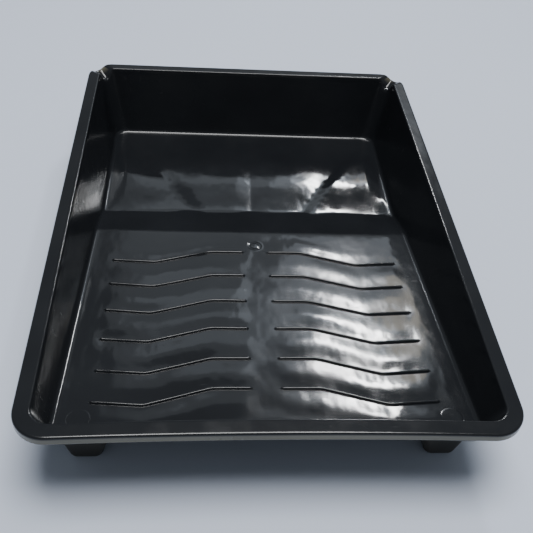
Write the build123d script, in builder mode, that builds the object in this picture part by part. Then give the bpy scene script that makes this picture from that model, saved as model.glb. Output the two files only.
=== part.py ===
from build123d import *
import math
import os

# Paint roller tray: one shell moulding with a ramp and a paint well. It stands on the flat underside of
# the well and on two push-on feet under the shallow end.
# Frame: +Z up, +Y from the shallow end to the deep end, origin on the floor under the middle of the rim.
# Millimetres and degrees.

os.makedirs("parts", exist_ok=True)

# rim
rim_length = 388.0
rim_width = 278.0
rim_corner = 20.0            # outer corner radius in plan
rim_edge_radius = 1.6        # rounding of the outer top edge
flange_width = 9.5           # flat top of the rim
skirt_depth = 6.2            # turned-down lip
skirt_wall = 1.8
front_bow = 2.7              # the shallow end's rim bends in this far at its middle

# shell
wall = 2.0
wall_draft = 10.0            # lean of the side and end walls
basin_corner = 11.5          # corner radius inside the shell

# floor, going from the shallow end to the deep end; depths are below the top of the rim
ramp_start_depth = 27.9
ramp_run = 209.0             # level distance covered by the ramp
ramp_fall = 20.6
step_run = 34.5              # steeper stretch between ramp and well
step_fall = 9.3
floor_blend = 12.0           # radius where the ramp, the step and the well meet

# ribs that squeeze the roller, in two mirrored columns
rib_rows = 6
rib_first = 44.5             # along the ramp, from its upper end to the first row's inner half
rib_pitch = 27.8
rib_width = 1.8
rib_height = 1.5
rib_inner_end = 9.9          # from the middle of the tray
rib_first_bend = 34.5
rib_second_bend = 72.0
rib_offset = 12.0            # how far the outer half of a rib lies up the ramp from its inner half
rib_side_gap = 18.5          # bare margin between a rib's outer end and the side wall

# moulding gate on the ramp
gate_from_ramp_end = 17.0
gate_boss_radius = 2.75
gate_boss_height = 0.9
gate_ring_radius = 5.8
gate_ring_width = 0.6
gate_ring_height = 0.3

# pouring gutters in the two corners of the deep end
gutter_radius = 8.0
gutter_depth = 3.2           # at the outer edge of the rim
gutter_slope = 26.0          # falls this steeply towards the well
gutter_overrun = 8.0         # drawn past the corner on the outside
gutter_run = 26.0

# feet and the round posts they push onto
post_radius = 6.85
post_length = 16.0
post_clearance = 0.1         # around a post in its socket
socket_end_gap = 0.5         # beyond a post's end
foot_side_inset = 21.5       # from the mouth of the shell to a foot's middle
foot_end_inset = 24.5
sole_width = 15.5
sole_length = 16.0
sole_corner = 3.5
shank_width = 31.0
shank_length = 17.5
shank_corner = 4.5
shank_start = 16.0           # height at which the foot has widened from sole to shank

# places that follow from the sizes above; heights are above the floor that the tray stands on
ramp_end_depth = ramp_start_depth + ramp_fall
well_depth = ramp_end_depth + step_fall
rim_height = well_depth + wall
lean = math.tan(math.radians(wall_draft))
bow_overrun = front_bow * (1 - (1 - 2 * rim_corner / rim_width) ** 2)  # lost to the rounded corners
mouth_half_width = rim_width / 2 - flange_width
mouth_end = rim_length / 2 - flange_width
step_start = -mouth_end + ramp_run
well_start = step_start + step_run
ramp_angle = math.atan2(ramp_fall, ramp_run)
ramp_plane = Plane(
    origin=(0, -mouth_end, rim_height - ramp_start_depth),
    x_dir=(1, 0, 0),
    z_dir=(0, math.sin(ramp_angle), math.cos(ramp_angle)),
)
ramp_end_half_width = mouth_half_width - ramp_end_depth * lean
rib_outer_end = ramp_end_half_width - rib_side_gap
gate_place = ramp_run / math.cos(ramp_angle) - gate_from_ramp_end
foot_x = mouth_half_width - foot_side_inset
foot_y = -(mouth_end - foot_end_inset)
foot_top = rim_height - ramp_start_depth - foot_end_inset * math.tan(ramp_angle) - wall  # over its middle


def tray_outline(inset, corner):
    # outline in plan, this far inside the rim's outer edge, with a bowed shallow end
    x = rim_width / 2 - inset
    y = rim_length / 2 - inset
    bow_end = -y - bow_overrun
    with BuildLine() as outline:
        ThreePointArc((-x, bow_end), (0, bow_end + front_bow), (x, bow_end))
        Polyline((x, bow_end), (x, y), (-x, y), (-x, bow_end))
    face = make_face(outline.edges())
    fillet(face.vertices(), corner)


def space_over_floor(drop):
    # side view of the space above the floor, or above its underside when drop is the wall
    top = rim_height + wall
    ramp_overrun = (rim_length - mouth_end) * math.tan(ramp_angle)
    with BuildLine() as outline:
        floor_line = FilletPolyline(
            (-rim_length, rim_height - ramp_start_depth - drop + ramp_overrun),
            (step_start, rim_height - ramp_end_depth - drop),
            (well_start, rim_height - well_depth - drop),
            (rim_length, rim_height - well_depth - drop),
            radius=floor_blend,
        )
        Polyline(floor_line @ 1, (rim_length, top), (-rim_length, top), floor_line @ 0)
    make_face(outline.edges())


def shell_outline(height, outward):
    # the leaning shell in plan at this height: its inside, or its outside when outward is the wall
    tray_outline(flange_width - outward + (rim_height - height) * lean, basin_corner + outward)


def gutter_plane(side):
    # square to the gutter's run, outside the corner, with its own Y pointing up
    slope = math.radians(gutter_slope)
    flat = math.sqrt(0.5)
    inward = Vector(-side * flat * math.cos(slope), -flat * math.cos(slope), -math.sin(slope))
    up = Vector(-side * flat * math.sin(slope), -flat * math.sin(slope), math.cos(slope))
    corner = rim_corner * (1 - flat)
    edge = Vector(side * (rim_width / 2 - corner), rim_length / 2 - corner, rim_height - gutter_depth)
    start = edge - inward * gutter_overrun + up * gutter_radius
    return Plane(origin=start, x_dir=up.cross(inward), z_dir=inward)


def gutter_section(radius):
    # U section, open at the top
    Circle(radius)
    with Locations((0, rim_height / 2)):
        Rectangle(2 * radius, rim_height)


def rib_outline(side, place):
    # one cranked rib with round ends, this far along the ramp
    with BuildLine() as outline:
        Polyline(
            (side * rib_inner_end, place),
            (side * rib_first_bend, place),
            (side * rib_second_bend, place - rib_offset),
            (side * rib_outer_end, place - rib_offset),
        )
        offset(amount=rib_width / 2)
    make_face(outline.edges())


# the shell's outside, under the floor and around the walls
with BuildPart() as shell_body:
    for height in (0, rim_height):
        with BuildSketch(Plane.XY.offset(height)):
            shell_outline(height, wall)
    loft(ruled=True)
    with BuildSketch(Plane.YZ):
        space_over_floor(wall)
    extrude(amount=rim_width, both=True, mode=Mode.INTERSECT)

# the space that holds the paint and the roller
with BuildPart() as paint_space:
    for height in (0, rim_height + wall):
        with BuildSketch(Plane.XY.offset(height)):
            shell_outline(height, 0)
    loft(ruled=True)
    with BuildSketch(Plane.YZ):
        space_over_floor(0)
    extrude(amount=rim_width, both=True, mode=Mode.INTERSECT)

# everything above the middle of the floor's wall, and above its underside, to trim what stands there
with BuildPart() as over_mid_wall:
    with BuildSketch(Plane.YZ):
        space_over_floor(wall / 2)
    extrude(amount=rim_width, both=True)

with BuildPart() as over_underside:
    with BuildSketch(Plane.YZ):
        space_over_floor(wall)
    extrude(amount=rim_width, both=True)

# walls of the two gutters, kept inside the rim's outline and under its rounded edge
with BuildPart() as gutter_walls:
    for side in (-1, 1):
        with BuildSketch(gutter_plane(side)):
            gutter_section(gutter_radius + wall)
        extrude(amount=gutter_run)
    with BuildSketch(Plane.XY):
        tray_outline(0, rim_corner)
    extrude(amount=rim_height - rim_edge_radius, mode=Mode.INTERSECT)

# posts under the ramp
with BuildPart() as posts:
    with BuildSketch(Plane.XY.offset(foot_top - post_length)):
        with Locations((-foot_x, foot_y), (foot_x, foot_y)):
            Circle(post_radius)
    extrude(amount=post_length + 2 * wall)
    add(over_mid_wall.part, mode=Mode.SUBTRACT)

# the tray itself
with BuildPart() as tray:
    # rim with its turned-down lip
    with BuildSketch(Plane.XY.offset(rim_height - skirt_depth)):
        tray_outline(0, rim_corner)
    extrude(amount=skirt_depth)
    fillet(tray.faces().sort_by(Axis.Z)[-1].edges(), rim_edge_radius)
    with BuildSketch(Plane.XY.offset(rim_height - skirt_depth)):
        tray_outline(skirt_wall, rim_corner - skirt_wall)
    extrude(amount=skirt_depth - wall, mode=Mode.SUBTRACT)
    # shell, gutters and posts
    add(shell_body.part)
    add(gutter_walls.part)
    add(posts.part)
    add(paint_space.part, mode=Mode.SUBTRACT)
    for side in (-1, 1):
        with BuildSketch(gutter_plane(side)):
            gutter_section(gutter_radius)
        extrude(amount=gutter_run, mode=Mode.SUBTRACT)
    # ribs across the ramp
    with BuildSketch(ramp_plane.offset(-wall / 2)):
        for row in range(rib_rows):
            for side in (-1, 1):
                rib_outline(side, rib_first + row * rib_pitch)
    extrude(amount=wall / 2 + rib_height)
    # gate mark
    with BuildSketch(ramp_plane.offset(-wall / 2)):
        with Locations((0, gate_place)):
            Circle(gate_boss_radius)
    extrude(amount=wall / 2 + gate_boss_height)
    with BuildSketch(ramp_plane.offset(-wall / 2)):
        with Locations((0, gate_place)):
            Circle(gate_ring_radius)
            Circle(gate_ring_radius - gate_ring_width, mode=Mode.SUBTRACT)
    extrude(amount=wall / 2 + gate_ring_height)
tray.part.label = "tray"
export_step(tray.part, "parts/tray.step")

# feet: a rounded sole that widens to a shank, cut to the ramp's slope, with a blind socket for the post
for name, x in (("left_foot", -foot_x), ("right_foot", foot_x)):
    with BuildPart() as foot:
        with BuildSketch(Plane.XY):
            with Locations((x, foot_y)):
                RectangleRounded(sole_width, sole_length, sole_corner)
        with BuildSketch(Plane.XY.offset(shank_start)) as shank:
            with Locations((x, foot_y)):
                RectangleRounded(shank_width, shank_length, shank_corner)
        loft(ruled=True)
        extrude(shank.sketch, amount=rim_height - shank_start)
        add(over_underside.part, mode=Mode.SUBTRACT)
        with BuildSketch(Plane.XY.offset(foot_top - post_length - socket_end_gap)):
            with Locations((x, foot_y)):
                Circle(post_radius + post_clearance)
        extrude(amount=rim_height, mode=Mode.SUBTRACT)
    foot.part.label = name
    export_step(foot.part, f"parts/{name}.step")
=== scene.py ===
import math

import bpy
from mathutils import Matrix, Quaternion, Vector, noise


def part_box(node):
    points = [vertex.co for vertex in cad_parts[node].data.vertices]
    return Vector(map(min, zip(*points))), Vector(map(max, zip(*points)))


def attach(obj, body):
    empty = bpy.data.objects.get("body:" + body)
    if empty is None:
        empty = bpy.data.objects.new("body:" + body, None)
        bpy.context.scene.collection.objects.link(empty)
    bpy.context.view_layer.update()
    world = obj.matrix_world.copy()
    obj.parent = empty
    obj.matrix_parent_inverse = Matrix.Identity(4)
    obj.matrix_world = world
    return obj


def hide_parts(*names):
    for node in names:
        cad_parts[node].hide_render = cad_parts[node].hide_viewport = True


# Paint roller tray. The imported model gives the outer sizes; the looks are built round it.
# Mesh code works in millimetres and is scaled to metres at the end.

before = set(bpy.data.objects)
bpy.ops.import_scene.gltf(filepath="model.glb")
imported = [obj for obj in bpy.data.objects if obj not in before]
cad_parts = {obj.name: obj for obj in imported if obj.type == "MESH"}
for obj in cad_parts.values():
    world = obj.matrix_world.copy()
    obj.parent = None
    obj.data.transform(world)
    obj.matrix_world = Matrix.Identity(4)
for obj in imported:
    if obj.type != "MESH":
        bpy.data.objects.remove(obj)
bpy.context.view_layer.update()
trayLow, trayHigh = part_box("tray")
mm = 0.001
print("frame loaded")


def mix(a, b, t):
    return a + (b - a) * t


def clamp(t, low=0.0, high=1.0):
    return max(low, min(high, t))


def smooth(t):
    t = clamp(t)
    return t * t * (3 - 2 * t)


def ramp(t, start, end, soft):
    # 0 before start, 1 after end, with softened corners
    a = math.sqrt((t - start) ** 2 + soft ** 2)
    b = math.sqrt((t - end) ** 2 + soft ** 2)
    return 0.5 + (a - b) / (2 * (end - start))


def softMin(a, b, k):
    return 0.5 * (a + b - math.sqrt((a - b) ** 2 + k * k))


def softMax(a, b, k):
    return 0.5 * (a + b + math.sqrt((a - b) ** 2 + k * k))


def spread(start, end, step):
    # evenly spaced places from start up to, but not including, end
    count = max(1, round((end - start) / step))
    return [start + (end - start) * i / count for i in range(count)]


def meshFrom(name, points, faces):
    # points in millimetres
    data = bpy.data.meshes.new(name)
    data.from_pydata([(x * mm, y * mm, z * mm) for x, y, z in points], [], faces)
    data.validate()
    for polygon in data.polygons:
        polygon.use_smooth = True
    piece = bpy.data.objects.new(name, data)
    bpy.context.scene.collection.objects.link(piece)
    return piece


tray = {
    "halfWidth": (trayHigh.x - trayLow.x) / 2 / mm,
    "halfLength": (trayHigh.y - trayLow.y) / 2 / mm,
    "top": trayHigh.z / mm,
    "wall": 2.0,
    "lean": math.tan(math.radians(10)),
    "flange": 9.5,
    "flangeDrop": 0.5,       # the flange falls this much towards its outer edge
    "rimCorner": 20.0,
    "basinCorner": 11.5,
    "frontBow": 2.7,
    "outerEdge": 1.5,        # rounding between flange and lip
    "innerEdge": 1.0,        # rounding between flange and basin wall
    "floorFillet": 3.0,
    "underFillet": 7.0,
    "frontLean": 2.6,        # how much further in the shallow end's wall stands at its foot
    "lipDepth": 6.2,
    "lipWall": 1.8,
    "lipEdge": 0.6,          # roundings at the lip's lower end, outside and inside
    "lipInnerEdge": 0.5,
    "underEdge": 0.8,        # rounding of the corners under the flange
    "wallUneven": 0.14,      # the basin wall bulges in and out by this much
}
floorLine = {
    "rampDepth": 27.9,       # below the rim, at the shallow end
    "rampRun": 209.0,
    "rampFall": 20.6,
    "stepRun": 34.5,
    "stepFall": 9.3,
    "creaseSoft": 0.35,
    "wellSoft": 0.55,
    "creaseBow": 2.2,
}
ribs = {
    "rows": 6,
    "first": 183.2,          # from the shallow end's basin edge to the row nearest the well
    "pitch": 27.8,
    "lastLift": 2.3,         # the last row sits closer to its neighbour
    "height": 1.5,
    "foot": 1.15,            # half width where the rib meets the ramp
    "innerEnd": 9.9,
    "firstBend": 33.5,
    "secondBend": 73.3,
    "outerEnd": 103.2,
    "offset": 13.3,
    "outerReturn": 2.4,      # the outer part swings back this much
    "bendSoft": 1.5,
    "sag": 0.16,             # the ramp sinks a little towards every rib
    "sagSide": 101.0,
    "sagUneven": 0.9,        # share by which the sag varies from place to place
    "drift": 0.14,           # slow waves that run aslant over the rows
    "driftLength": 92.0,
    "middleValley": 0.4,     # the bare strip between the two columns lies a little lower
    "valleyWidth": 15.0,
}
gutter = {
    "outerDip": 2.5,
    "innerDip": 8.2,
    "flat": 1.2,             # half width of the trough's bottom
    "outerHalf": 9.6,        # half width at the flange's outer and inner edge
    "innerHalf": 7.4,
    "lipFollow": 0.55,       # share of the dip that reaches the lip's lower end
}
waves = {
    "broad": 0.22, "broadSize": 46.0,
    "middle": 0.075, "middleSize": 21.0,
    "fine": 0.018, "fineSize": 8.5,
}

mouthEnd = tray["halfLength"] - tray["flange"]
bowOverrun = tray["frontBow"] * (1 - (1 - tray["rimCorner"] / tray["halfWidth"]) ** 2)
rampSlope = floorLine["rampFall"] / floorLine["rampRun"]
creaseY = -mouthEnd + floorLine["rampRun"]
wellY = creaseY + floorLine["stepRun"]
wellFloor = tray["wall"]
rowPlaces = [-mouthEnd + ribs["first"] - row * ribs["pitch"] for row in range(ribs["rows"])]
rowPlaces[-1] += ribs["lastLift"]
cornerLines = 12             # grid lines that fan round each half of a corner
cornerReach = 9.0
coreMargin = 7.0             # from the wall's foot to the edge of the floor grid
freeHalf = 104.6             # the floor grid keeps true X up to here


def floorProfile(y):
    # nominal height of the floor along the tray
    top = tray["top"]
    onRamp = top - floorLine["rampDepth"] - (y + mouthEnd) * rampSlope
    onStep = top - floorLine["rampDepth"] - floorLine["rampFall"]
    onStep -= (y - creaseY) * floorLine["stepFall"] / floorLine["stepRun"]
    return softMax(softMin(onRamp, onStep, floorLine["creaseSoft"]), wellFloor, floorLine["wellSoft"])


def wave(x, y, seed):
    # slow unevenness of a cooled moulding
    broad = noise.noise((x / waves["broadSize"], y / waves["broadSize"], seed))
    middle = noise.noise((x / waves["middleSize"], y / waves["middleSize"], seed + 7.3))
    fine = noise.noise((x / waves["fineSize"], y / waves["fineSize"], seed + 3.9))
    return waves["broad"] * broad + waves["middle"] * middle + waves["fine"] * fine


def crank(x):
    # how far a rib's line runs up the ramp at this X
    back = ribs["outerReturn"] * ramp(abs(x), ribs["secondBend"], ribs["outerEnd"], ribs["bendSoft"])
    return back - ribs["offset"] * ramp(abs(x), ribs["firstBend"], ribs["secondBend"], ribs["bendSoft"])


def footInset(y):
    # inset of the basin wall's foot from the rim's outer edge
    return tray["flange"] + (tray["top"] - floorProfile(y)) * tray["lean"]


def ribHeight(x, v):
    across = min(abs(v - place) for place in rowPlaces)
    along = max(ribs["innerEnd"] - abs(x), abs(x) - ribs["outerEnd"], 0)
    reach = math.hypot(across, along) / ribs["foot"]
    if reach >= 1:
        return 0.0
    return ribs["height"] * (1 - reach ** 2) ** 0.6


def ribSag(x, y):
    # slow rise and fall of the ramp between the ribs
    v = y - crank(x)
    first, last = rowPlaces[0], rowPlaces[-1]
    if v >= first:
        phase = (v - first) / ribs["pitch"]
    elif v <= last:
        phase = (v - last) / ribs["pitch"]
    else:
        upper = min(place for place in rowPlaces if place >= v)
        lower = max(place for place in rowPlaces if place <= v)
        phase = (v - lower) / max(upper - lower, 0.001)
    row = (first - v) / ribs["pitch"]
    inRows = smooth((first + 20 - v) / 14) * smooth((v - last + 26) / 14)
    inside = smooth((ribs["sagSide"] + 8 - abs(x)) / 10) * smooth((abs(x) - 4) / 12)
    uneven = 1 + ribs["sagUneven"] * noise.noise((x / 34, row * 0.8, 4.1))
    sag = ribs["sag"] * uneven * math.cos(2 * math.pi * phase)
    drift = ribs["drift"] * math.sin(2 * math.pi * (x / ribs["driftLength"] + row * 0.27))
    middle = ribs["middleValley"] * math.exp(-(x / ribs["valleyWidth"]) ** 2)
    return (drift - sag) * inRows * inside - middle * inRows


wellFolds = {
    "originY": -15.0,            # the folds fan out from this point on the middle line
    "left": (-31.3, -25.7),      # degrees from the middle line to the two edges of the left fold
    "middle": 0.9,
    "right": (29.6, 32.4),
    "leftDepth": 0.9, "leftReach": 12.0,
    "middleDepth": 0.95, "middleReach": 9.0,
    "rightDepth": 1.05, "rightReach": 15.0,
    "hump": 1.5,                 # rise of the right-hand panel
    "humpSpan": (46.0, 175.0, 60.0),     # length of the rise, place of its end, length of the fall
    "fall": 0.045,               # slope of that panel away from the folds
    "ridgeSoft": 0.12,           # rounding where that panel meets its fold
    "dish": 1.7,                 # rise of the whole well floor
    "dishSpan": (48.0, 178.0, 70.0),
    "uneven": 0.13, "unevenSize": 16.0,
    "backEnd": 174.0,            # the folds have died away here
    "sideEnd": 119.0,
}


def valley(off, depth, reach):
    return -depth * math.exp(-(math.sqrt(off * off + 0.3) - 0.55) / reach)


def swell(y, span):
    # 0 at the step, up to 1 in the well, 0 again at its far end
    rise, end, fade = span
    return smooth((y - wellY) / rise) * smooth((end - y) / fade)


def wellFold(x, y):
    # the well floor is faintly folded along lines that fan out from one point
    fold = wellFolds
    inWell = smooth((y - wellY + 1) / 6) * smooth((fold["backEnd"] - y) / 50)
    if inWell <= 0:
        return 0.0
    alongY = y - fold["originY"]
    angle = math.degrees(math.atan2(x, alongY))
    span = math.hypot(x, alongY)
    leftOut, leftIn = fold["left"]
    rightIn, rightOut = fold["right"]

    def off(line):
        return span * math.sin(math.radians(angle - line))

    if angle < leftOut:
        height = valley(off(leftOut), fold["leftDepth"], fold["leftReach"])
    elif angle < leftIn:
        height = -fold["leftDepth"] * (leftIn - angle) / (leftIn - leftOut)
    elif angle < rightIn:
        height = valley(off(fold["middle"]), fold["middleDepth"], fold["middleReach"])
        height += valley(off(rightIn), fold["rightDepth"], fold["rightReach"])
    else:
        hump = fold["hump"] * swell(y, fold["humpSpan"])
        rising = mix(-fold["rightDepth"], hump, (angle - rightIn) / (rightOut - rightIn))
        height = softMin(rising, hump - fold["fall"] * off(rightOut), fold["ridgeSoft"])
    height += fold["dish"] * swell(y, fold["dishSpan"])
    height += fold["uneven"] * noise.noise((x / fold["unevenSize"], y / fold["unevenSize"], 9.4))
    return height * inWell * smooth((fold["sideEnd"] - abs(x)) / 16)


def floorHeight(x, y):
    return floorProfile(y) + wave(x, y, 1.7) + wellFold(x, y) + ribSag(x, y)


def coreLines():
    # grid lines across (u) and along (v) the floor, closer together where there is detail
    edge = tray["halfWidth"] - footInset(-mouthEnd + 5) - coreMargin
    half = [0, 1.5, 3.0, 4.5, 6.0, 7.4, 8.2, 8.6, 9.0, 9.4, 9.9, 10.6, 12.0]
    half += spread(14.5, 31, 4.0) + spread(31, 38, 1.4) + spread(38, 68.5, 4.2) + spread(68.5, 75.5, 1.4)
    half += spread(75.5, 99, 4.0) + [100.5, 102, 102.8, 103.2, 103.7, 104.1, 104.5, 105.2]
    half += [edge - cornerReach * (1 - i / cornerLines) for i in range(cornerLines + 1)]
    half = sorted(set(round(place, 3) for place in half))
    # drop lines that crowd the corner fan
    fan = edge - cornerReach
    half = [place for place in half if place <= fan - 0.35 or place >= fan - 1e-6]
    us = [-place for place in reversed(half) if place > 0] + half

    front = -mouthEnd + (footInset(-mouthEnd + 5) - tray["flange"]) + coreMargin + tray["frontLean"]
    back = mouthEnd - (footInset(mouthEnd) - tray["flange"]) - coreMargin
    vs = [front + cornerReach * i / cornerLines for i in range(cornerLines + 1)]
    cuts = [0.15, 0.3, 0.45, 0.6, 0.75, 0.9, 1.02, 1.11, 1.16, 1.3, 1.7]
    cuts = [-cut for cut in reversed(cuts)] + [0] + cuts
    last = vs[-1]
    for place in sorted(rowPlaces):
        vs += spread(last + 1.0, place + cuts[0], 3.4)
        vs += [place + cut for cut in cuts]
        last = place + cuts[-1]
    vs += spread(last + 1.0, creaseY - 6, 1.6)
    vs += spread(creaseY - 6, creaseY + 6, 0.9)
    vs += spread(creaseY + 6, wellY - 6, 2.4)
    vs += spread(wellY - 6, wellY + 6, 0.9)
    vs += spread(wellY + 6, back - cornerReach - 1, 1.9)
    vs += [back - cornerReach * (1 - i / cornerLines) for i in range(cornerLines + 1)]
    return us, vs, edge


def bowShift(x, v):
    # the shallow end's bow dies away up the ramp
    fade = 1 - ramp(v, -mouthEnd + 18, -mouthEnd + 42, 4)
    return fade * (tray["frontBow"] * (1 - (x / tray["halfWidth"]) ** 2) - bowOverrun)


def corePoint(u, v, edge):
    # where a crossing of two grid lines lies in plan: the lines follow the ribs, the bow and the crease
    free = ramp(v, -mouthEnd + 14, -mouthEnd + 38, 1.5) * (1 - ramp(v, creaseY - 22.5, creaseY - 1.5, 1.5))
    y = v + crank(u) * free + bowShift(u, v)
    nearCrease = ramp(v, creaseY - 40, creaseY, 4) * (1 - ramp(v, creaseY, wellY, 4))
    y -= floorLine["creaseBow"] * (u / 120) ** 2 * nearCrease
    x = u
    if abs(u) > freeHalf:
        sideEdge = tray["halfWidth"] - footInset(y) - coreMargin
        t = (abs(u) - freeHalf) / (edge - freeHalf)
        x = math.copysign(mix(freeHalf, sideEdge, t), u)
    return x, y


def outlinePoint(column, inset, radius):
    # a place on the tray's outline in plan, this far inside the rim's outer edge
    kind, value = column
    lean = tray["frontLean"] * clamp((inset - tray["flange"]) / 5)
    halfX = tray["halfWidth"] - inset
    halfY = tray["halfLength"] - inset
    straightX = halfX - radius
    straightY = halfY - radius
    if kind == "front":
        x, y = value * straightX, -halfY
    elif kind == "back":
        x, y = value * straightX, halfY
    elif kind == "right":
        x, y = halfX, mix(-straightY - bowOverrun + lean, straightY, (value + 1) / 2)
    elif kind == "left":
        x, y = -halfX, mix(-straightY - bowOverrun + lean, straightY, (value + 1) / 2)
    else:
        angle = math.radians(value)
        x = math.copysign(straightX, math.cos(angle)) + radius * math.cos(angle)
        y = math.copysign(straightY, math.sin(angle)) + radius * math.sin(angle)
    if kind == "front" or (kind == "corner" and value > 180):
        y += tray["frontBow"] * (1 - (x / halfX) ** 2) - bowOverrun + lean
    return x, y


def perimeterColumns(us, vs, edge):
    # the floor grid's border, counter-clockwise from the front left corner, with places on the outline
    lastU, lastV = len(us) - 1, len(vs) - 1
    fan = 45 / cornerLines
    columns = []

    def place(index, last, values, kind, startAngle, endAngle):
        if index < cornerLines:
            return ("corner", startAngle + index * fan)
        if index > last - cornerLines:
            return ("corner", endAngle - (last - index) * fan)
        low, high = values[cornerLines], values[last - cornerLines]
        return (kind, 2 * (values[index] - low) / (high - low) - 1)

    for i in range(lastU):
        columns.append(((i, 0), place(i, lastU, us, "front", 225, 315)))
    sideY = [corePoint(edge, v, edge)[1] for v in vs]
    for j in range(lastV):
        columns.append(((lastU, j), place(j, lastV, sideY, "right", 315, 405)))
    for i in range(lastU, 0, -1):
        kind, value = place(lastU - i, lastU, [-u for u in reversed(us)], "back", 45, 135)
        columns.append(((i, lastV), (kind, -value if kind == "back" else value)))
    for j in range(lastV, 0, -1):
        kind, value = place(lastV - j, lastV, [-y for y in reversed(sideY)], "left", 135, 225)
        columns.append(((0, j), (kind, -value if kind == "left" else value)))
    return [(cell, (kind, value % 360 if kind == "corner" else value)) for cell, (kind, value) in columns]


def gutterDip(x, y, share):
    # depth of the pouring trough under a place on the flange; share is 0 at the outer edge, 1 at the inner
    reachX = abs(x) - (tray["halfWidth"] - tray["rimCorner"])
    reachY = y - (tray["halfLength"] - tray["rimCorner"])
    if reachX < -6 or reachY < -6:
        return 0.0
    across = abs(reachX - reachY) / math.sqrt(2)
    half = mix(gutter["outerHalf"], gutter["innerHalf"], share)
    shape = smooth((half - across) / (half - gutter["flat"]))
    return shape * mix(gutter["outerDip"], gutter["innerDip"], share)


def arcPoints(centre, radius, start, end, count):
    # points of an arc in an (inset, height) section, ends included
    points = []
    for i in range(count + 1):
        angle = math.radians(mix(start, end, i / count))
        points.append((centre[0] + radius * math.cos(angle), centre[1] + radius * math.sin(angle)))
    return points


def columnPoints(column):
    # section through wall, rim and lip: from the floor's fillet up, over, down, and back under the floor
    top, wall, lean = tray["top"], tray["wall"], tray["lean"]
    leanAngle = math.degrees(math.atan(lean))
    sine, cosine = math.sin(math.radians(leanAngle)), math.cos(math.radians(leanAngle))
    flange, outerEdge, innerEdge = tray["flange"], tray["outerEdge"], tray["innerEdge"]
    # the wall's foot, settled in a few rounds because the floor slopes
    foot = flange + 40 * lean
    for _ in range(6):
        base = outlinePoint(column, foot, tray["basinCorner"])
        foot = flange + (top - floorProfile(base[1])) * lean
    floorZ = top - (foot - flange) / lean

    def radiusAt(inset):
        if inset <= flange:
            return mix(tray["rimCorner"], tray["basinCorner"], inset / flange)
        return tray["basinCorner"] - max(0.0, inset - foot)

    def plan(inset):
        return outlinePoint(column, inset, radiusAt(inset))

    def dipAt(inset):
        x, y = plan(inset)
        return gutterDip(x, y, clamp(inset / flange))

    section = []
    # floor fillet, inside
    radius = tray["floorFillet"]
    tangent = radius * (1 - sine) / cosine
    fillet = arcPoints((foot + tangent, floorZ + radius), radius, 270, 180 + leanAngle, 6)
    section += fillet
    # basin wall, up to the dipped edge, a little uneven
    tangentTop = innerEdge * (1 - sine) / cosine
    innerDip = dipAt(flange)
    wallTop = top - innerDip - tangentTop * cosine
    wallFoot = fillet[-1][1]
    for share in (0.06, 0.25, 0.45, 0.65, 0.82, 0.94):
        z = mix(wallFoot, wallTop, share)
        x, y = plan(foot)
        uneven = tray["wallUneven"] * noise.noise((x / 24, y / 24, z / 30)) * math.sin(math.pi * share)
        section.append((flange + (top - z) * lean + uneven, z))
    # rounded inner edge of the flange
    for inset, z in arcPoints((flange - tangentTop, top - innerEdge), innerEdge, leanAngle, 90, 5):
        section.append((inset + innerDip * lean * clamp(inset - flange + 1), z - innerDip))
    # flange
    drop = tray["flangeDrop"]
    for share in (0.12, 0.4, 0.7, 0.9):
        inset = mix(flange - tangentTop, outerEdge, share)
        section.append((inset, top - drop * share - dipAt(inset)))
    # rounded outer edge, then the lip
    outerDip = dipAt(outerEdge) + drop
    for inset, z in arcPoints((outerEdge, top - outerEdge), outerEdge, 90, 180, 7):
        section.append((inset, z - outerDip))
    lipEnd = top - tray["lipDepth"] - gutter["lipFollow"] * (outerDip - drop)
    sideTop = top - outerEdge - outerDip
    edge = tray["lipEdge"]
    for share in (0.15, 0.55, 0.85):
        section.append((0.0, mix(sideTop, lipEnd + edge, share)))
    section += arcPoints((edge, lipEnd + edge), edge, 180, 270, 3)
    inner, edge = tray["lipWall"], tray["lipInnerEdge"]
    section += arcPoints((inner - edge, lipEnd + edge), edge, 270, 360, 3)
    # inside of the lip, underside of the flange
    underZ, under = top - wall, tray["underEdge"]
    section.append((inner, mix(lipEnd + edge, underZ - outerDip - under, 0.5)))
    for inset, z in arcPoints((inner + under, underZ - under), under, 180, 90, 3):
        section.append((inset, z - outerDip))
    outerWall = flange - wall
    for share in (0.35, 0.7):
        inset = mix(inner + under, outerWall - under, share)
        section.append((inset, underZ - dipAt(inset)))
    underDip = dipAt(outerWall)
    for inset, z in arcPoints((outerWall - under, underZ - under), under, 90, leanAngle, 3):
        section.append((inset + underDip * lean * clamp(inset - outerWall + 1), z - underDip))
    # outside of the basin wall, down to the rounded edge under the floor
    underFloor = floorZ - wall
    wallShift = wall / cosine
    radius = tray["underFillet"]
    tangent = radius * (1 - sine) / cosine
    outerFoot = flange - wallShift + (top - underFloor) * lean
    startZ = section[-1][1]
    endZ = underFloor + tangent * cosine
    for share in (0.1, 0.3, 0.55, 0.8, 0.95):
        z = mix(startZ, endZ, share)
        section.append((flange - wallShift + (top - z) * lean, z))
    section += arcPoints((outerFoot + tangent, underFloor + radius), radius, 180 + leanAngle, 270, 6)
    return [(*plan(inset), z) for inset, z in section]


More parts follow.
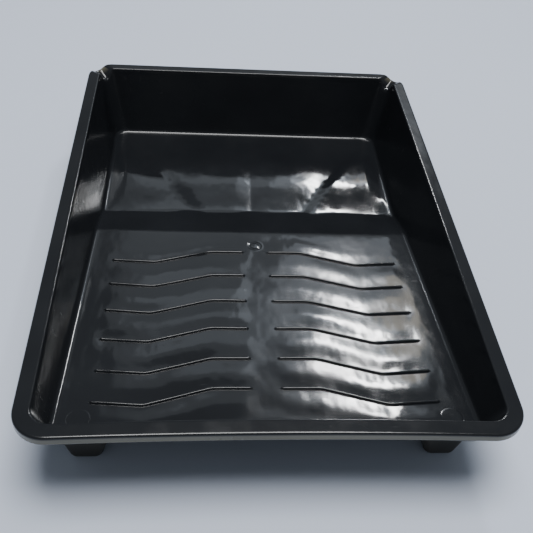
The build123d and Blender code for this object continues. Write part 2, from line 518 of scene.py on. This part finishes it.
def discPatch(points, faces, cells, block, centre, rings, heightAt, flip):
    # fills a square hole in the floor grid with rings round a centre
    (i0, i1), (j0, j1) = block
    border = [cells[i][j0] for i in range(i0, i1)]
    border += [cells[i1][j] for j in range(j0, j1)]
    border += [cells[i][j1] for i in range(i1, i0, -1)]
    border += [cells[i0][j] for j in range(j1, j0, -1)]
    angles = []
    for index in border:
        x, y, _ = points[index]
        angles.append(math.atan2(y - centre[1], x - centre[0]))
    previous = border
    for radius, lift in rings:
        ring = []
        for angle in angles:
            x = centre[0] + radius * math.cos(angle)
            y = centre[1] + radius * math.sin(angle)
            ring.append(len(points))
            points.append((x, y, heightAt(x, y) + lift))
        stitch(faces, previous, ring, flip)
        previous = ring
    middle = len(points)
    points.append((*centre, heightAt(*centre) + rings[-1][1]))
    for k in range(len(previous)):
        face = (previous[k], previous[(k + 1) % len(previous)], middle)
        faces.append(face[::-1] if flip else face)


def stitch(faces, outer, inner, flip=False):
    # quads between two closed loops of the same length
    count = len(outer)
    for k in range(count):
        face = (outer[k], outer[(k + 1) % count], inner[(k + 1) % count], inner[k])
        faces.append(face[::-1] if flip else face)


def closeLoop(points, faces, loop, flip):
    # a fan of triangles from the middle of a loop
    middle = len(points)
    ring = [points[k] for k in loop]
    points.append(tuple(sum(point[axis] for point in ring) / len(ring) for axis in range(3)))
    for k in range(len(loop)):
        face = (loop[k], loop[(k + 1) % len(loop)], middle)
        faces.append(face[::-1] if flip else face)


# the rings of a disc mark are (radius, lift above the ramp), from the outside in
gateMark = {
    "place": (0.0, creaseY - 17.0),
    "rings": [(7.2, 0.0), (6.6, 0.01), (6.15, 0.05), (5.85, 0.07), (5.5, 0.02), (5.1, -0.09),
              (4.7, -0.17), (4.2, -0.2), (3.8, -0.17), (3.45, -0.08), (3.1, 0.02), (2.6, 0.1),
              (2.0, 0.15), (1.2, 0.185), (0.5, 0.2)],
    "reach": 8.4,                # radius of the hole that the mark needs in the floor grid
}
sinkMark = {
    "places": [(-109.3, -160.5), (109.3, -160.5)],
    "rings": [(7.3, 0.0), (7.05, 0.0), (6.92, -0.025), (6.8, -0.065), (6.68, -0.025), (6.5, 0.0),
              (5.4, -0.005), (3.5, -0.01), (1.6, -0.01)],
    "reach": 7.6,
}


def blockAround(points, cells, centre, reach):
    # the smallest block of grid cells whose border clears a disc
    def distance(cell):
        x, y, _ = points[cells[cell[0]][cell[1]]]
        return math.hypot(x - centre[0], y - centre[1])

    def clears(i0, i1, j0, j1):
        border = [(i, j) for i in (i0, i1) for j in range(j0, j1 + 1)]
        border += [(i, j) for j in (j0, j1) for i in range(i0, i1 + 1)]
        return min(distance(cell) for cell in border) >= reach

    nearest = min(((i, j) for i in range(len(cells)) for j in range(len(cells[0]))), key=distance)
    i0 = i1 = nearest[0]
    j0 = j1 = nearest[1]
    while not clears(i0, i1, j0, j1):
        x0 = points[cells[i0][nearest[1]]][0]
        x1 = points[cells[i1][nearest[1]]][0]
        y0 = points[cells[nearest[0]][j0]][1]
        y1 = points[cells[nearest[0]][j1]][1]
        if centre[0] - x0 < reach and i0 > 0:
            i0 -= 1
        if x1 - centre[0] < reach and i1 < len(cells) - 1:
            i1 += 1
        if centre[1] - y0 < reach and j0 > 0:
            j0 -= 1
        if y1 - centre[1] < reach and j1 < len(cells[0]) - 1:
            j1 += 1
        if (i0, i1, j0, j1) == (0, len(cells) - 1, 0, len(cells[0]) - 1):
            break
        # the sides clear the disc, but a bent corner still cuts it
        if min(centre[0] - x0, x1 - centre[0], centre[1] - y0, y1 - centre[1]) >= reach:
            j0 -= 1
            j1 += 1
    return (i0, i1), (j0, j1)


def buildTray():
    us, vs, edge = coreLines()
    columns = perimeterColumns(us, vs, edge)
    sections = [columnPoints(outline) for _, outline in columns]
    points = []
    faces = []

    def floorGrid(heightAt, marks, flip):
        # one side of the floor, with its disc marks; gives back the border
        cells = []
        for u in us:
            line = []
            for v in vs:
                x, y = corePoint(u, v, edge)
                line.append(len(points))
                points.append((x, y, heightAt(x, y, v)))
            cells.append(line)
        blocks = [(blockAround(points, cells, mark[0], mark[2]), mark) for mark in marks]
        for i in range(len(us) - 1):
            for j in range(len(vs) - 1):
                if any(i0 <= i < i1 and j0 <= j < j1 for ((i0, i1), (j0, j1)), _ in blocks):
                    continue
                face = (cells[i][j], cells[i + 1][j], cells[i + 1][j + 1], cells[i][j + 1])
                faces.append(face[::-1] if flip else face)
        for block, (centre, rings, _) in blocks:
            discPatch(points, faces, cells, block, centre, rings, lambda x, y: heightAt(x, y, None), flip)
        return [cells[i][j] for (i, j), _ in columns]

    def topHeight(x, y, v):
        # v is None inside a disc mark, where there is no rib
        return floorHeight(x, y) + (ribHeight(x, v) if v is not None else 0)

    def underHeight(x, y, v):
        return max(floorProfile(y) - tray["wall"], 0.0)

    marks = [(gateMark["place"], gateMark["rings"], gateMark["reach"])]
    marks += [(place, sinkMark["rings"], sinkMark["reach"]) for place in sinkMark["places"]]
    border = floorGrid(topHeight, marks, False)

    # ring between the grid and the fillet
    loops = [border]
    for share in (0.35, 0.7):
        loop = []
        for index, section in zip(border, sections):
            x = mix(points[index][0], section[0][0], share)
            y = mix(points[index][1], section[0][1], share)
            loop.append(len(points))
            points.append((x, y, mix(floorHeight(x, y), floorProfile(y), share)))
        loops.append(loop)
    # the walls, rim and lip, then the ring under the floor
    for level in range(len(sections[0])):
        loop = []
        for section in sections:
            loop.append(len(points))
            points.append(section[level])
        loops.append(loop)
    underBorder = floorGrid(underHeight, [], True)
    for share in (0.4, 0.8):
        loop = []
        for index, section in zip(underBorder, sections):
            x = mix(section[-1][0], points[index][0], share)
            y = mix(section[-1][1], points[index][1], share)
            loop.append(len(points))
            points.append((x, y, underHeight(x, y, None)))
        loops.append(loop)
    loops.append(underBorder)
    for inner, outer in zip(loops, loops[1:]):
        stitch(faces, inner, outer, True)
    return meshFrom("tray_shell", points, faces)


trayShell = buildTray()
print("tray shell", len(trayShell.data.vertices), "points")


foot = {
    "inward": 1.5,               # towards the tray's middle from the middle of the modelled foot
    "soleX": 19.4, "soleY": 15.6,
    "soleCorner": 4.5,
    "soleEdge": 2.4,             # rounding round the sole
    "recess": 0.7,               # the middle of the sole is hollow by this much
    "flankStart": 1.4,           # the foot widens from this height up to the next
    "shankStart": 16.0,
    "shankX": 27.4, "shankY": 17.0,
    "shankCorner": 5.0,
    "sides": 48,
}


def footLoop(x, y, sizeX, sizeY, corner, heightAt):
    # rounded rectangle, counter-clockwise from above
    loop = []
    perCorner = foot["sides"] // 4
    corner = min(corner, sizeX / 2 - 0.1, sizeY / 2 - 0.1)
    for sideX, sideY, start in ((1, 1, 0), (-1, 1, 90), (-1, -1, 180), (1, -1, 270)):
        for k in range(perCorner):
            angle = math.radians(start + 90 * k / (perCorner - 1))
            px = x + sideX * (sizeX / 2 - corner) + corner * math.cos(angle)
            py = y + sideY * (sizeY / 2 - corner) + corner * math.sin(angle)
            loop.append((px, py, heightAt(px, py)))
    return loop


def footLevels():
    # (width, length, corner, height) of the sole, from its middle outwards, then up the flanks
    edge, recess = foot["soleEdge"], foot["recess"]
    levels = []
    for inset, z in ((6.5, recess), (4.2, recess), (3.6, recess - 0.15), (3.2, 0.0), (edge, 0.0)):
        corner = foot["soleCorner"] - inset * 0.5
        levels.append((foot["soleX"] - 2 * inset, foot["soleY"] - 2 * inset, corner, z))
    for k in range(1, 6):
        angle = math.radians(72 * k / 5)
        inset = edge * (1 - math.sin(angle))
        z = edge * (1 - math.cos(angle))
        levels.append((foot["soleX"] - 2 * inset, foot["soleY"] - 2 * inset, foot["soleCorner"], z))
    low, high = foot["flankStart"], foot["shankStart"]
    for z in (2.6, 4.5, 7.0, 9.5, 12.0, 14.0, 15.5, 17.0):
        share = softMin((z - low) / (high - low), 1.0, 0.05)
        sizeX = mix(foot["soleX"], foot["shankX"], share)
        sizeY = mix(foot["soleY"], foot["shankY"], share)
        levels.append((sizeX, sizeY, mix(foot["soleCorner"], foot["shankCorner"], share), z))
    return levels


def buildFoot(name, node):
    low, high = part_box(node)
    x, y = (low.x + high.x) / 2 / mm, (low.y + high.y) / 2 / mm
    x -= math.copysign(foot["inward"], x)
    points = []
    loops = []

    def addLoop(sizeX, sizeY, corner, heightAt):
        loop = footLoop(x, y, sizeX, sizeY, corner, heightAt)
        loops.append([len(points) + k for k in range(len(loop))])
        points.extend(loop)

    for sizeX, sizeY, corner, z in footLevels():
        addLoop(sizeX, sizeY, corner, lambda px, py: z)
    # top, against the ramp's underside
    for shrink, drop in ((0.0, 1.4), (0.15, 0.5), (0.6, 0.08), (1.6, 0.02), (6.0, 0.02)):
        sizeX, sizeY = foot["shankX"] - 2 * shrink, foot["shankY"] - 2 * shrink
        corner = foot["shankCorner"] - shrink * 0.5
        addLoop(sizeX, sizeY, corner, lambda px, py: floorProfile(py) - tray["wall"] - drop)
    faces = []
    for lower, upper in zip(loops, loops[1:]):
        stitch(faces, lower, upper)
    for loop, flip in ((loops[0], True), (loops[-1], False)):
        closeLoop(points, faces, loop, flip)
    piece = meshFrom(name, points, faces)
    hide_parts(node)
    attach(piece, "root")
    return piece


leftFoot = buildFoot("left_foot_cap", "left_foot")
rightFoot = buildFoot("right_foot_cap", "right_foot")
print("feet built")


def newMaterial(name):
    material = bpy.data.materials.new(name)
    material.use_nodes = True
    tree = material.node_tree
    tree.nodes.clear()
    out = tree.nodes.new("ShaderNodeOutputMaterial")
    shader = tree.nodes.new("ShaderNodeBsdfPrincipled")
    tree.links.new(shader.outputs["BSDF"], out.inputs["Surface"])
    return material, tree, shader


def noiseNode(tree, coords, scale, detail, rough=0.5, stretch=None):
    source = coords.outputs["Object"]
    if stretch:
        mapping = tree.nodes.new("ShaderNodeMapping")
        mapping.inputs["Scale"].default_value = stretch
        tree.links.new(source, mapping.inputs["Vector"])
        source = mapping.outputs["Vector"]
    node = tree.nodes.new("ShaderNodeTexNoise")
    node.inputs["Scale"].default_value = scale
    node.inputs["Detail"].default_value = detail
    node.inputs["Roughness"].default_value = rough
    tree.links.new(source, node.inputs["Vector"])
    return node.outputs["Fac"]


def rangeNode(tree, value, fromLow, fromHigh, toLow, toHigh):
    node = tree.nodes.new("ShaderNodeMapRange")
    node.inputs["From Min"].default_value = fromLow
    node.inputs["From Max"].default_value = fromHigh
    node.inputs["To Min"].default_value = toLow
    node.inputs["To Max"].default_value = toHigh
    tree.links.new(value, node.inputs["Value"])
    return node.outputs["Result"]


def mathNode(tree, operation, a, b=None):
    node = tree.nodes.new("ShaderNodeMath")
    node.operation = operation
    tree.links.new(a, node.inputs[0])
    if b:
        tree.links.new(b, node.inputs[1])
    return node.outputs["Value"]


def colorNode(tree, value, stops):
    # two stops of (place, colour)
    node = tree.nodes.new("ShaderNodeValToRGB")
    for stop, (place, color) in zip(node.color_ramp.elements, stops):
        stop.position = place
        stop.color = (*color, 1)
    tree.links.new(value, node.inputs["Fac"])
    return node.outputs["Color"]


def bumpNode(tree, value, strength, distance, below=None):
    node = tree.nodes.new("ShaderNodeBump")
    node.inputs["Strength"].default_value = strength
    node.inputs["Distance"].default_value = distance
    tree.links.new(value, node.inputs["Height"])
    if below:
        tree.links.new(below, node.inputs["Normal"])
    return node.outputs["Normal"]


trayLook = {
    "ior": 1.49,
    "colors": ((0.0085, 0.0095, 0.0115), (0.0125, 0.0140, 0.0165)),
    # lip colours: a painted reflection of the lit floor, lighter and more olive than the black plastic
    "paintedLipSheenColors": ((0.105, 0.100, 0.072), (0.140, 0.131, 0.095)),
    "roughness": (0.075, 0.135),             # clean and smeared
    "scuffed": 0.10,                         # what scuffs, rim, dust and walls add to the roughness
    "onRim": 0.07,
    "onLip": 0.15,
    "onWalls": 0.13,
}
footLook = {
    # painted reflection: the feet's lighter, browner colour stands in for the lit floor mirrored in them
    "colors": ((0.026, 0.025, 0.022), (0.046, 0.042, 0.036)),
    "roughness": (0.38, 0.5),
}


def wallShare(tree, outermost, split):
    # 1 on the steep walls below the rim, 0 on the floor and the rim
    normal = tree.nodes.new("ShaderNodeSeparateXYZ")
    tree.links.new(tree.nodes.new("ShaderNodeNewGeometry").outputs["Normal"], normal.inputs["Vector"])
    steep = rangeNode(tree, mathNode(tree, "ABSOLUTE", normal.outputs["Z"]), 0.25, 0.5, 1, 0)
    low = rangeNode(tree, split.outputs["Z"], trayHigh.z - 0.006, trayHigh.z - 0.003, 1, 0)
    inside = rangeNode(tree, outermost, 0, 1, 1, 0)
    return mathNode(tree, "MULTIPLY", mathNode(tree, "MULTIPLY", steep, low), inside)


def trayPlastic():
    # glossy black polypropylene: slightly uneven gloss, flow ripples, and a lighter olive lip that is a
    # painted reflection of the lit floor
    material, tree, shader = newMaterial("glossBlackMoulding")
    shader.inputs["IOR"].default_value = trayLook["ior"]
    coords = tree.nodes.new("ShaderNodeTexCoord")
    split = tree.nodes.new("ShaderNodeSeparateXYZ")
    tree.links.new(coords.outputs["Object"], split.inputs["Vector"])

    # the lip is duller, and its colour is lightened to olive as a painted reflection of the lit floor
    acrossShare = rangeNode(tree, mathNode(tree, "ABSOLUTE", split.outputs["X"]), 0, trayHigh.x, 0, 1)
    alongShare = rangeNode(tree, mathNode(tree, "ABSOLUTE", split.outputs["Y"]), 0, trayHigh.y, 0, 1)
    outermost = rangeNode(tree, mathNode(tree, "MAXIMUM", acrossShare, alongShare), 0.955, 0.985, 0, 1)
    belowEdge = rangeNode(tree, split.outputs["Z"], trayHigh.z - 0.0024, trayHigh.z - 0.0016, 1, 0)
    dullLipPaintedSheen = mathNode(tree, "MULTIPLY", outermost, belowEdge)

    cloud = noiseNode(tree, coords, 14, 3)
    dark, light = trayLook["colors"]
    # painted reflection: on the lip the shell's colour is lightened to olive, standing in for the lit
    # floor mirrored there
    sheenDark, sheenLight = trayLook["paintedLipSheenColors"]
    blend = tree.nodes.new("ShaderNodeMix")
    blend.data_type = "RGBA"
    tree.links.new(dullLipPaintedSheen, blend.inputs["Factor"])
    tree.links.new(colorNode(tree, cloud, [(0.3, dark), (0.7, light)]), blend.inputs["A"])
    tree.links.new(colorNode(tree, cloud, [(0.35, sheenDark), (0.65, sheenLight)]), blend.inputs["B"])
    tree.links.new(blend.outputs["Result"], shader.inputs["Base Color"])

    smear = noiseNode(tree, coords, 22, 5, 0.62)
    scuff = noiseNode(tree, coords, 6, 4, 0.6, stretch=(14.0, 60.0, 14.0))
    gloss = rangeNode(tree, smear, 0.47, 0.60, *trayLook["roughness"])
    nearTop = (trayHigh.z - 0.0009, trayHigh.z - 0.0006)
    for added in (
        rangeNode(tree, scuff, 0.66, 0.74, 0.0, trayLook["scuffed"]),
        rangeNode(tree, split.outputs["Z"], *nearTop, 0.0, trayLook["onRim"]),
        rangeNode(tree, dullLipPaintedSheen, 0, 1, 0.0, trayLook["onLip"]),
        rangeNode(tree, wallShare(tree, outermost, split), 0, 1, 0.0, trayLook["onWalls"]),
    ):
        gloss = mathNode(tree, "ADD", gloss, added)
    tree.links.new(gloss, shader.inputs["Roughness"])

    ripple = noiseNode(tree, coords, 55, 2, stretch=(1.0, 0.6, 1.0))
    speck = noiseNode(tree, coords, 900, 2)
    broad = bumpNode(tree, ripple, 0.35, 0.0009)
    tree.links.new(bumpNode(tree, speck, 0.05, 0.0001, broad), shader.inputs["Normal"])
    return material


def footPlastic():
    # satin moulding; its colour, lighter and browner than the shell, is a painted reflection of the lit
    # floor
    material, tree, shader = newMaterial("satinFootMoulding")
    coords = tree.nodes.new("ShaderNodeTexCoord")
    cloud = noiseNode(tree, coords, 60, 3)
    grain = noiseNode(tree, coords, 1800, 2)
    dark, light = footLook["colors"]
    # painted reflection of the lit floor in the feet's base colour
    tree.links.new(colorNode(tree, cloud, [(0.3, dark), (0.7, light)]), shader.inputs["Base Color"])
    tree.links.new(rangeNode(tree, cloud, 0.3, 0.7, *footLook["roughness"]), shader.inputs["Roughness"])
    tree.links.new(bumpNode(tree, grain, 0.2, 0.0001), shader.inputs["Normal"])
    return material


shellPlastic = trayPlastic()
capPlastic = footPlastic()
trayShell.data.materials.append(shellPlastic)
for piece in (leftFoot, rightFoot):
    piece.data.materials.append(capPlastic)
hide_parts("tray")
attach(trayShell, "root")
for node, plastic in (("tray", shellPlastic), ("left_foot", capPlastic), ("right_foot", capPlastic)):
    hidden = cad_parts[node]
    hidden.data.materials.clear()
    hidden.data.materials.append(plastic)
print("materials done")

studio = {
    "floorSize": 9.0,
    "floorColor": (0.60, 0.66, 0.78),
    "worldColor": (0.86, 0.93, 1.0),
    "worldStrength": 0.2,
    "camera": (-42.2, -413.9, 330.2),    # from the middle of the rim's top, in millimetres
    "azimuth": -7.15, "elevation": 43.19, "roll": 5.67,
    "lens": 50.36,
    "aim": (0.05, -0.07, 0.02),          # where the lights point, in metres
}
# Area lights as seen from the aim point, in degrees: how far to the right and how high, width, height, and
# how far the top leans to the right. The distance is in metres. The gloss shows each one as a reflection.
lights = {
    "windowPane": {"turn": 15.4, "rise": 37.8, "distance": 2.0, "wide": 2.4, "high": 9.0, "lean": 45,
                   "radiance": 95, "color": (1, 1, 1)},
    "windowWall": {"turn": 14.6, "rise": 36.6, "distance": 2.2, "wide": 6.4, "high": 10, "lean": 40,
                   "radiance": 4.6, "color": (0.80, 0.89, 1.0)},
    "wallGlow": {"turn": 15, "rise": 33.5, "distance": 2.5, "wide": 17, "high": 14, "lean": 0,
                 "radiance": 1.1, "color": (0.80, 0.89, 1.0)},
    "warmPanel": {"turn": 20.6, "rise": 34, "distance": 2.3, "wide": 4, "high": 7, "lean": 0,
                  "radiance": 2.4, "color": (1.0, 0.86, 0.62)},
    "farWindow": {"turn": -1, "rise": 36.5, "distance": 2.4, "wide": 14, "high": 5, "lean": 0,
                  "radiance": 0.55, "color": (0.80, 0.89, 1.0)},
    "roomGlow": {"turn": 7, "rise": 33, "distance": 2.8, "wide": 31, "high": 21, "lean": 0,
                 "radiance": 0.4, "color": (0.84, 0.92, 1.0)},
    "ceiling": {"turn": -15, "rise": 91, "distance": 2.0, "wide": 30, "high": 30, "lean": 0,
                "radiance": 13, "color": (1, 1, 1)},
}


def addFloor():
    half = studio["floorSize"] / 2
    corners = [(-half, -half, 0), (half, -half, 0), (half, half, 0), (-half, half, 0)]
    data = bpy.data.meshes.new("floor")
    data.from_pydata(corners, [], [(0, 1, 2, 3)])
    floor = bpy.data.objects.new("floor", data)
    bpy.context.scene.collection.objects.link(floor)
    material, tree, shader = newMaterial("paleFloor")
    coords = tree.nodes.new("ShaderNodeTexCoord")
    cloud = noiseNode(tree, coords, 3, 2)
    base = studio["floorColor"]
    color = colorNode(tree, cloud, [(0.3, tuple(c * 0.985 for c in base)), (0.7, base)])
    tree.links.new(color, shader.inputs["Base Color"])
    shader.inputs["Roughness"].default_value = 0.9
    floor.data.materials.append(material)


def addWorld():
    world = bpy.data.worlds.new("studio")
    world.use_nodes = True
    background = world.node_tree.nodes["Background"]
    background.inputs["Color"].default_value = (*studio["worldColor"], 1)
    background.inputs["Strength"].default_value = studio["worldStrength"]
    bpy.context.scene.world = world


def addLight(name, plan):
    turn, rise = math.radians(plan["turn"]), math.radians(plan["rise"])
    toLight = Vector((math.sin(turn) * math.cos(rise), math.cos(turn) * math.cos(rise), math.sin(rise)))
    data = bpy.data.lights.new(name, "AREA")
    data.shape = "RECTANGLE"
    data.size = 2 * plan["distance"] * math.tan(math.radians(plan["wide"] / 2))
    data.size_y = 2 * plan["distance"] * math.tan(math.radians(plan["high"] / 2))
    data.energy = plan["radiance"] * math.pi * data.size * data.size_y
    data.color = plan["color"]
    lamp = bpy.data.objects.new(name, data)
    lamp.location = Vector(studio["aim"]) + plan["distance"] * toLight
    aim = (-toLight).to_track_quat("-Z", "Y")
    lamp.rotation_euler = (aim @ Quaternion((0, 0, 1), math.radians(plan["lean"]))).to_euler()
    bpy.context.scene.collection.objects.link(lamp)


def addCamera():
    turn = math.radians(studio["azimuth"])
    rise = math.radians(studio["elevation"])
    roll = math.radians(studio["roll"])
    forward = Vector((-math.sin(turn) * math.cos(rise), math.cos(turn) * math.cos(rise), -math.sin(rise)))
    right = Vector((math.cos(turn), math.sin(turn), 0))
    up = right.cross(forward)
    rolledRight = math.cos(roll) * right + math.sin(roll) * up
    rolledUp = -math.sin(roll) * right + math.cos(roll) * up
    data = bpy.data.cameras.new("camera")
    data.lens = studio["lens"]
    data.sensor_width = 36
    camera = bpy.data.objects.new("camera", data)
    rotation = Matrix((rolledRight, rolledUp, -forward)).transposed().to_4x4()
    place = Vector(studio["camera"]) * mm + Vector((0, 0, trayHigh.z))
    camera.matrix_world = Matrix.Translation(place) @ rotation
    bpy.context.scene.collection.objects.link(camera)
    bpy.context.scene.camera = camera


addFloor()
addWorld()
for name, plan in lights.items():
    addLight(name, plan)
addCamera()
print("studio ready")
